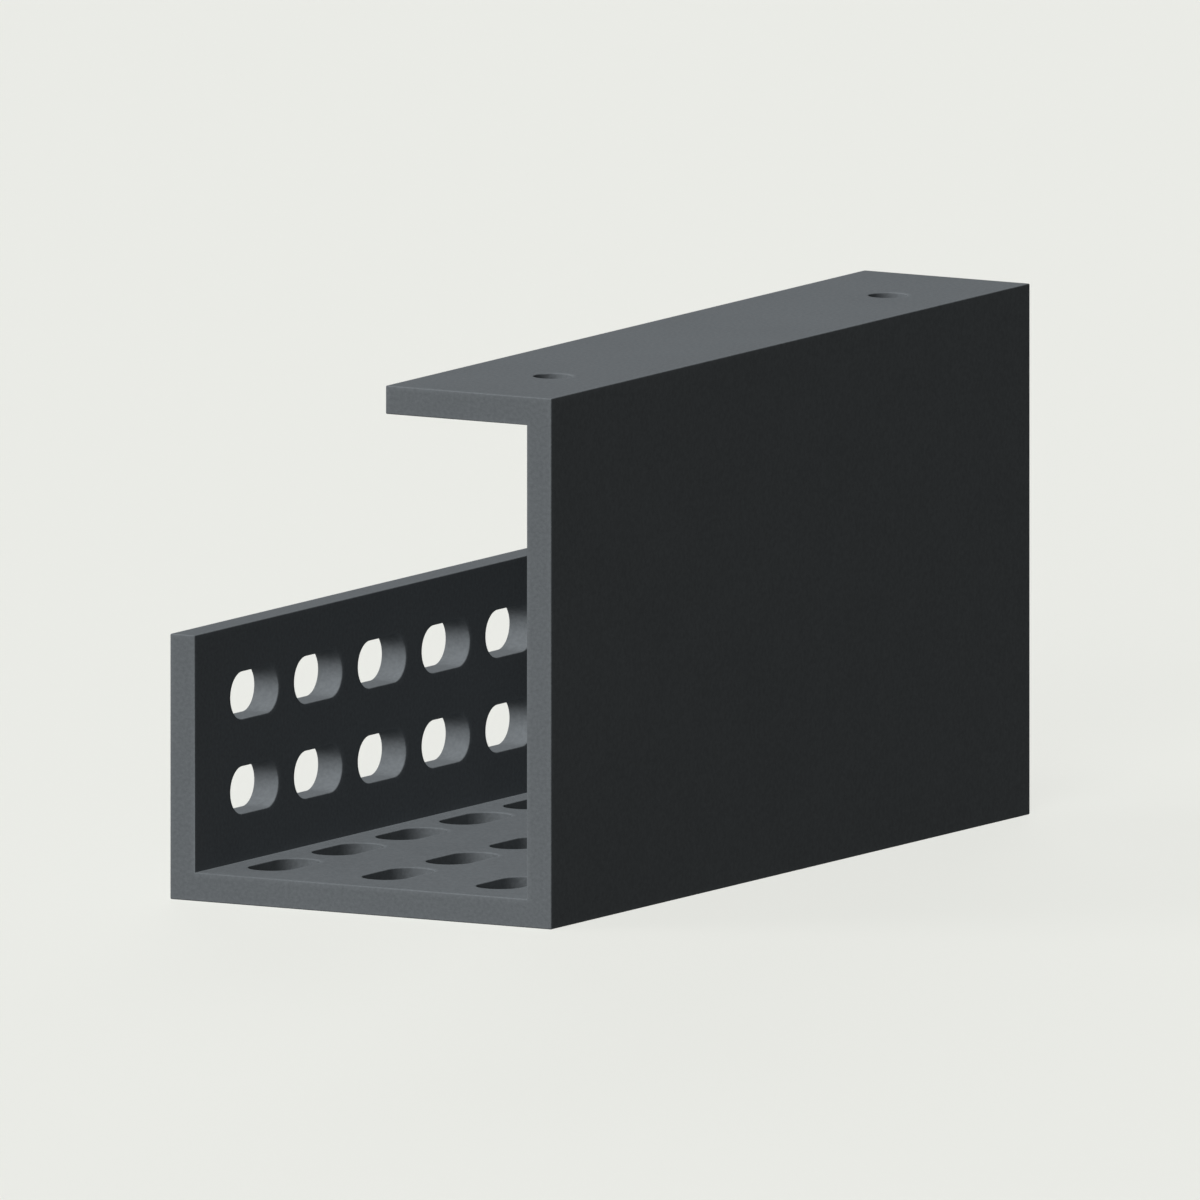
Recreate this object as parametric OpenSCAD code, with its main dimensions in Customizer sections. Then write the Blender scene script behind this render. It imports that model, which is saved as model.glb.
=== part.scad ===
// Under-desk cable tray, one moulded piece: a slotted floor between a low slotted
// lip and a tall back wall, with a screw flange turned in over the top of that wall.
// X runs across the tray from the lip to the back wall, Y along it from the near end
// to the far end, and Z up. The origin is the middle of the underside. Sizes are in mm.

/* [Channel] */
// Length of the tray, open at both ends
tray_length = 100; // [60:1:300]
// Clear width between the lip and the back wall
channel_width = 40; // [25:1:100]
// Clear height between the floor and the flange
channel_height = 50; // [35:1:100]
// Height of the lip above the floor
lip_height = 25; // [12:1:32]
// Thickness of every wall
wall = 3; // [2:0.1:5]

/* [Flange] */
// Width of the flange, from the outer face of the back wall
flange_width = 20; // [14:0.5:28]
// Diameter of a screw hole
screw_hole_d = 4; // [3:0.1:6]
// From each end of the tray to the axis of the screw hole near it
screw_end_distance = 15; // [6:0.5:25]
// From the inner face of the back wall to the axes of the screw holes
screw_wall_distance = 5.5; // [4:0.1:8]

/* [Slots] */
// Length of a slot over its round ends, along the tray
slot_length = 10; // [7:0.5:20]
// Width of a slot
slot_width = 5; // [3:0.1:6]
// Land between one slot and the next along the tray
slot_gap = 3.33; // [2:0.01:15]
// Least land kept beyond the last slot, in every direction
slot_end_land = 2.5; // [1:0.1:10]

/* [Floor slots] */
// Land between the near end and the first slot
floor_slot_start = 5; // [2:0.1:20]
// Land between the lip and the first column of slots
floor_column_start = 2.5; // [1:0.1:10]
// Land between one column and the next
floor_column_gap = 8.75; // [3:0.05:20]

/* [Lip slots] */
// Land between the near end and the first slot
lip_slot_start = 7.5; // [2:0.1:20]
// Land between the floor and the lowest row of slots
lip_row_start = 5; // [2:0.1:10]
// Land between one row and the next
lip_row_gap = 5; // [2:0.1:10]

/* [Hidden] */
$fn = 64;

tray_width = channel_width + 2 * wall;
tray_height = channel_height + 2 * wall;
lip_top = wall + lip_height;

// Faces that the section and the holes are placed from
near_end_y = -tray_length / 2;
far_end_y = tray_length / 2;
lip_outer_x = -tray_width / 2;
lip_inner_x = lip_outer_x + wall;
back_outer_x = tray_width / 2;
back_inner_x = back_outer_x - wall;
flange_edge_x = back_outer_x - flange_width;
flange_underside_z = tray_height - wall;

screw_x = back_inner_x - screw_wall_distance;
screw_ys = [near_end_y + screw_end_distance, far_end_y - screw_end_distance];

// How far a cutter reaches past each face of the wall that it goes through
overcut = 1;
cut_depth = wall + 2 * overcut;

// Keeps a slot that fits exactly from being lost to rounding
rounding = 0.000001;

// Middles of as many slots of one size as fit in a span, the first after the start
function slot_middles(span, start, size, gap) =
    let (
        room = span - start - size - slot_end_land,
        last = floor(room / (size + gap) + rounding)
    )
    [for (i = [0:1:last]) start + size / 2 + i * (size + gap)];

floor_slot_ys = slot_middles(tray_length, floor_slot_start, slot_length, slot_gap);
floor_slot_xs = slot_middles(channel_width, floor_column_start, slot_width, floor_column_gap);
lip_slot_ys = slot_middles(tray_length, lip_slot_start, slot_length, slot_gap);
lip_slot_zs = slot_middles(lip_height, lip_row_start, slot_width, lip_row_gap);

// The J-shaped section, seen from the near end
module section() {
    polygon([
        [lip_outer_x, 0],
        [back_outer_x, 0],
        [back_outer_x, tray_height],
        [flange_edge_x, tray_height],
        [flange_edge_x, flange_underside_z],
        [back_inner_x, flange_underside_z],
        [back_inner_x, wall],
        [lip_inner_x, wall],
        [lip_inner_x, lip_top],
        [lip_outer_x, lip_top]
    ]);
}

// A round-ended slot along Y, cut upwards from z = -overcut
module slot_cutter() {
    straight = slot_length - slot_width;
    translate([0, 0, -overcut]) {
        for (side = [-1, 1])
            translate([0, side * straight / 2, 0])
                cylinder(d = slot_width, h = cut_depth);
        translate([-slot_width / 2, -straight / 2, 0])
            cube([slot_width, straight, cut_depth]);
    }
}

module floor_slots() {
    for (x = floor_slot_xs, y = floor_slot_ys)
        translate([lip_inner_x + x, near_end_y + y, 0])
            slot_cutter();
}

module lip_slots() {
    for (y = lip_slot_ys, z = lip_slot_zs)
        translate([lip_outer_x, near_end_y + y, wall + z])
            rotate([0, 90, 0])
                slot_cutter();
}

module screw_holes() {
    for (y = screw_ys)
        translate([screw_x, y, flange_underside_z - overcut])
            cylinder(d = screw_hole_d, h = cut_depth);
}

module cable_tray() {
    color("#65696c")
        difference() {
            rotate([90, 0, 0])
                linear_extrude(height = tray_length, center = true)
                    section();
            floor_slots();
            lip_slots();
            screw_holes();
        }
}

cable_tray();
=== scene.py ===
"""Under-desk cable tray: one piece of matte grey moulded plastic, on a pale studio floor."""

import math

import bmesh
import bpy
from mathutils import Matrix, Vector


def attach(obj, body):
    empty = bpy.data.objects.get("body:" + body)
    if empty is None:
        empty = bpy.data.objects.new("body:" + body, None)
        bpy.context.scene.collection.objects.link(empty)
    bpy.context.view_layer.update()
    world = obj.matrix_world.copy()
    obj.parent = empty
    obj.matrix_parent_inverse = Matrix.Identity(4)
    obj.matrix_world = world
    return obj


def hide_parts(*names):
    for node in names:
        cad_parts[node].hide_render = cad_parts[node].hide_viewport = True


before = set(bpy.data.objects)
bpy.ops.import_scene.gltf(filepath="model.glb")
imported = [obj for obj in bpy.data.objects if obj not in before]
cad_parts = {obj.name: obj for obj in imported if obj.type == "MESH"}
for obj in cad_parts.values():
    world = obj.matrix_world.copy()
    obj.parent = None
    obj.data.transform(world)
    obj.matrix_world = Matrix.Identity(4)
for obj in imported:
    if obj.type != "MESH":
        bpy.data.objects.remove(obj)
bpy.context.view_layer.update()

# The frame's lengths are in metres
MM = 0.001

# The camera looks along parallel lines, so its distance only has to clear the tray
VIEW_AZIMUTH = math.radians(30)
VIEW_ELEVATION = math.radians(8)
VIEW_WIDTH = 125.354 * MM
VIEW_CENTRE = Vector((0, 0, 27.08 * MM))
VIEW_DISTANCE = 1.0

# Outer edges of the moulding: their rounding, where a profile of 0.5 is an arc, and the width over which
# their rubbing fades
EDGE_RADIUS = 0.12 * MM
EDGE_SEGMENTS = 2
ROUND_PROFILE = 0.5
RUBBED_WIDTH = 0.6 * MM

# How the node's mesh is told apart into large flat panels, small faces and sharp edges
WELD_DISTANCE = 0.001 * MM
PANEL_MIN_AREA = 50 * MM ** 2
FLAT_ANGLE = math.radians(0.5)
SHARP_ANGLE = math.radians(60)

# Finish of the plastic; colours are linear, and a shade multiplies the colour
PLASTIC = (0.133, 0.145, 0.154)
GRAIN_SIZE = 0.4 * MM
GRAIN_DETAIL = 2.0
GRAIN_DEPTH = 0.045 * MM
GRAIN_STRENGTH = 0.65
GRAIN_SHADE = (0.915, 1.085)
MOTTLE_SIZE = 9 * MM
MOTTLE_DETAIL = 3.0
MOTTLE_SHADE = (0.98, 1.02)
RUBBED_SHADE = 1.08
ROUGHNESS = (0.70, 0.80)
GLOSS = 0.0

# How much finer noise is mixed in, and the span that most of its values lie in
NOISE_ROUGHNESS = 0.55
NOISE_SPAN = (0.3, 0.7)

# Each lamp is a broad, distant softbox: azimuth and elevation in degrees, its share of full white light,
# and whether it casts shadows. The key casts none, so that the channel is as evenly lit as in a light tent.
SOFTBOX_ANGLE = math.radians(30)
LAMPS = {
    "key": (-30, 51.5, 1.04, False),
    "side_light": (-55, 18, 0.13, True),
    "front_fill": (19, 16, 0.20, True),
    "back_fill": (-150, 8, 0.28, True),
}
EVEN_LIGHT = 0.04

# The floor shows the background's colour: one share is lit, so that it holds the shadow, and the rest glows.
# As a light it throws back only a small share, so that the tray's shaded side stays dark.
BACKGROUND = (0.823, 0.831, 0.791)
SHADOW_SHARE = 0.8
FLOOR_BOUNCE = 0.17
FLOOR_SIZE = 6.0
FLOOR_DROP = 0.02 * MM


def direction(azimuth, elevation):
    """Unit vector towards a point seen at that azimuth and elevation; azimuth 0 is towards -Y."""
    level = math.cos(elevation)
    return Vector((math.sin(azimuth) * level, -math.cos(azimuth) * level, math.sin(elevation)))


def flat_regions(bm):
    """Yields each group of faces that lie in one plane and join edge to edge."""
    reached = set()
    for seed in bm.faces:
        if seed in reached:
            continue
        reached.add(seed)
        region = [seed]
        # The region grows while the loop goes over it
        for face in region:
            for edge in face.edges:
                if edge.calc_face_angle() < FLAT_ANGLE:
                    joined = [other for other in edge.link_faces if other not in reached]
                    reached.update(joined)
                    region.extend(joined)
        yield region


def ring_panel(bm, panel):
    """Gives a flat panel a band of quads along its outline and its holes, and fills what is left."""
    normal = panel[0].normal.copy()
    bmesh.ops.inset_region(bm, faces=panel, thickness=RUBBED_WIDTH, use_boundary=True, use_even_offset=True)
    inside = set(panel)
    # A dict, unlike a set, keeps the edges in order, so that every run makes the same mesh
    edges = dict.fromkeys(edge for face in panel for edge in face.edges)
    rim = [edge for edge in edges if len(inside.intersection(edge.link_faces)) == 1]
    bmesh.ops.delete(bm, geom=panel, context="FACES_KEEP_BOUNDARY")
    bmesh.ops.triangle_fill(bm, use_beauty=True, edges=rim, normal=normal)


def clean_faces(bm):
    """Joins the triangles of each small flat face, and rings the large flat panels."""
    panels = [
        region for region in flat_regions(bm)
        if sum(face.calc_area() for face in region) > PANEL_MIN_AREA
    ]
    panel_faces = {face for panel in panels for face in panel}
    diagonals = [
        edge for edge in bm.edges
        if edge.calc_face_angle() < FLAT_ANGLE and not panel_faces.intersection(edge.link_faces)
    ]
    bmesh.ops.dissolve_edges(bm, edges=diagonals)
    for panel in panels:
        ring_panel(bm, panel)
    bmesh.ops.recalc_face_normals(bm, faces=bm.faces)


def round_outer_edges(bm):
    """Rounds the outer edges slightly, and sets the vertex attribute rubbed to 1 on them."""
    outer_edges = [edge for edge in bm.edges if edge.calc_face_angle_signed() > SHARP_ANGLE]
    rounded = bmesh.ops.bevel(
        bm, geom=outer_edges, affect="EDGES", offset_type="OFFSET", offset=EDGE_RADIUS,
        segments=EDGE_SEGMENTS, profile=ROUND_PROFILE, loop_slide=True,
    )
    rubbed = bm.verts.layers.float.new("rubbed")
    for face in rounded["faces"]:
        for vert in face.verts:
            vert[rubbed] = 1.0


def moulded_mesh(node):
    """The node's own shape with its outer edges slightly rounded, smooth except at the inner corners."""
    bm = bmesh.new()
    bm.from_mesh(node.data)
    bmesh.ops.remove_doubles(bm, verts=bm.verts, dist=WELD_DISTANCE)
    clean_faces(bm)
    round_outer_edges(bm)
    for face in bm.faces:
        face.smooth = True
    for edge in bm.edges:
        edge.smooth = edge.calc_face_angle() < SHARP_ANGLE
    mesh = bpy.data.meshes.new("tray_moulding")
    bm.to_mesh(mesh)
    bm.free()
    return mesh


def empty_tree(owner):
    """The node tree of a material or a world, with nothing in it."""
    owner.use_nodes = True
    owner.node_tree.nodes.clear()
    return owner.node_tree


def add_node(tree, kind, **inputs):
    """Adds a node and sets the inputs given, whose names have _ where the sockets have a space."""
    node = tree.nodes.new(kind)
    for socket, value in inputs.items():
        node.inputs[socket.replace("_", " ")].default_value = value
    return node


def combined(tree, operation, first, second):
    """The output of a Math node that takes two other outputs."""
    node = add_node(tree, "ShaderNodeMath")
    node.operation = operation
    tree.links.new(first, node.inputs[0])
    tree.links.new(second, node.inputs[1])
    return node.outputs["Value"]


def ranged(tree, value, span, result):
    """The output of a Map Range node that takes values in span to values in result."""
    node = add_node(
        tree, "ShaderNodeMapRange", From_Min=span[0], From_Max=span[1], To_Min=result[0], To_Max=result[1]
    )
    tree.links.new(value, node.inputs["Value"])
    return node.outputs["Result"]


def noise(tree, place, size, detail):
    """The output of a Noise node with features of a real size."""
    node = add_node(tree, "ShaderNodeTexNoise", Scale=1 / size, Detail=detail, Roughness=NOISE_ROUGHNESS)
    tree.links.new(place, node.inputs["Vector"])
    return node.outputs["Fac"]


def plastic_material():
    """Matte moulded plastic: a fine spark-eroded grain, faint mottling, and edges rubbed a little paler."""
    material = bpy.data.materials.new("tray_plastic")
    tree = empty_tree(material)
    link = tree.links.new
    place = add_node(tree, "ShaderNodeTexCoord").outputs["Object"]
    grain = noise(tree, place, GRAIN_SIZE, GRAIN_DETAIL)
    mottle = noise(tree, place, MOTTLE_SIZE, MOTTLE_DETAIL)
    rubbed = add_node(tree, "ShaderNodeAttribute")
    rubbed.attribute_name = "rubbed"

    grain_shade = ranged(tree, grain, NOISE_SPAN, GRAIN_SHADE)
    mottle_shade = ranged(tree, mottle, NOISE_SPAN, MOTTLE_SHADE)
    edge_shade = ranged(tree, rubbed.outputs["Fac"], (0, 1), (1, RUBBED_SHADE))
    shade = combined(tree, "MULTIPLY", grain_shade, mottle_shade)
    shade = combined(tree, "MULTIPLY", shade, edge_shade)
    colour = add_node(tree, "ShaderNodeVectorMath")
    colour.operation = "SCALE"
    colour.inputs[0].default_value = PLASTIC
    link(shade, colour.inputs["Scale"])

    bump = add_node(tree, "ShaderNodeBump", Strength=GRAIN_STRENGTH, Distance=GRAIN_DEPTH)
    link(grain, bump.inputs["Height"])

    shader = add_node(tree, "ShaderNodeBsdfPrincipled", Specular_IOR_Level=GLOSS)
    link(colour.outputs["Vector"], shader.inputs["Base Color"])
    link(ranged(tree, mottle, NOISE_SPAN, ROUGHNESS), shader.inputs["Roughness"])
    link(bump.outputs["Normal"], shader.inputs["Normal"])
    output = add_node(tree, "ShaderNodeOutputMaterial")
    link(shader.outputs["BSDF"], output.inputs["Surface"])
    return material


def background(share=1.0):
    """A share of the background's colour."""
    return (*(value * share for value in BACKGROUND), 1)


def seen_or_unseen(tree, seen, unseen):
    """Shows one shader to the camera, in reflections and through clear things, and lights with the other."""
    path = add_node(tree, "ShaderNodeLightPath")
    direct = path.outputs["Is Camera Ray"]
    for name in ("Is Glossy Ray", "Is Transmission Ray"):
        direct = combined(tree, "MAXIMUM", direct, path.outputs[name])
    choose = add_node(tree, "ShaderNodeMixShader")
    tree.links.new(direct, choose.inputs["Fac"])
    tree.links.new(unseen, choose.inputs[1])
    tree.links.new(seen, choose.inputs[2])
    return choose.outputs["Shader"]


def floor_material():
    """A pale floor that comes out at the background's colour where nothing shades it."""
    material = bpy.data.materials.new("studio_floor")
    tree = empty_tree(material)
    link = tree.links.new
    light = EVEN_LIGHT + sum(
        share * math.sin(math.radians(elevation)) for _, elevation, share, _ in LAMPS.values()
    )
    lit = add_node(tree, "ShaderNodeBsdfDiffuse", Color=background(SHADOW_SHARE / light))
    even = add_node(tree, "ShaderNodeEmission", Color=background(1 - SHADOW_SHARE))
    shown = add_node(tree, "ShaderNodeAddShader")
    link(lit.outputs["BSDF"], shown.inputs[0])
    link(even.outputs["Emission"], shown.inputs[1])
    bounce = add_node(tree, "ShaderNodeBsdfDiffuse", Color=background(FLOOR_BOUNCE))
    output = add_node(tree, "ShaderNodeOutputMaterial")
    surface = seen_or_unseen(tree, shown.outputs["Shader"], bounce.outputs["BSDF"])
    link(surface, output.inputs["Surface"])
    return material


def add_tray():
    """The moulding, in place of the plain node."""
    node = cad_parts["cable_tray"]
    tray = bpy.data.objects.new("tray_moulding", moulded_mesh(node))
    bpy.context.scene.collection.objects.link(tray)
    tray.data.materials.append(plastic_material())
    tray.modifiers.new("flat_panels", "WEIGHTED_NORMAL").keep_sharp = True
    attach(tray, "root")
    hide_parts("cable_tray")


def add_floor():
    """A plain pale floor under the tray, a hair below it so that no two faces share a plane."""
    half = FLOOR_SIZE / 2
    mesh = bpy.data.meshes.new("studio_floor")
    corners = [(x * half, y * half, -FLOOR_DROP) for x, y in ((-1, -1), (1, -1), (1, 1), (-1, 1))]
    mesh.from_pydata(corners, [], [(0, 1, 2, 3)])
    mesh.materials.append(floor_material())
    floor = bpy.data.objects.new("studio_floor", mesh)
    bpy.context.scene.collection.objects.link(floor)


def add_lamps():
    """The softboxes, each turned to the tray."""
    for name, (azimuth, elevation, share, shadow) in LAMPS.items():
        sun = bpy.data.lights.new(name, "SUN")
        sun.energy = share * math.pi
        sun.angle = SOFTBOX_ANGLE
        sun.use_shadow = shadow
        lamp = bpy.data.objects.new(name, sun)
        towards = direction(math.radians(azimuth), math.radians(elevation))
        lamp.rotation_mode = "QUATERNION"
        lamp.rotation_quaternion = towards.to_track_quat("Z", "Y")
        bpy.context.scene.collection.objects.link(lamp)


def add_world():
    """A world that is pale where it is seen, and dim as a light."""
    world = bpy.data.worlds.new("studio")
    bpy.context.scene.world = world
    tree = empty_tree(world)
    pale = add_node(tree, "ShaderNodeBackground", Color=background())
    dim = add_node(tree, "ShaderNodeBackground", Color=(1, 1, 1, 1), Strength=EVEN_LIGHT)
    output = add_node(tree, "ShaderNodeOutputWorld")
    surface = seen_or_unseen(tree, pale.outputs["Background"], dim.outputs["Background"])
    tree.links.new(surface, output.inputs["Surface"])


def add_camera():
    """A camera without perspective, in front of the tray's open end and a little above it."""
    data = bpy.data.cameras.new("camera")
    data.type = "ORTHO"
    data.ortho_scale = VIEW_WIDTH
    camera = bpy.data.objects.new("camera", data)
    back = direction(VIEW_AZIMUTH, VIEW_ELEVATION)
    camera.location = VIEW_CENTRE + back * VIEW_DISTANCE
    camera.rotation_mode = "QUATERNION"
    camera.rotation_quaternion = (-back).to_track_quat("-Z", "Y")
    bpy.context.scene.collection.objects.link(camera)
    bpy.context.scene.camera = camera


add_camera()
add_tray()
add_floor()
add_lamps()
add_world()
bpy.context.scene.view_settings.view_transform = "Standard"
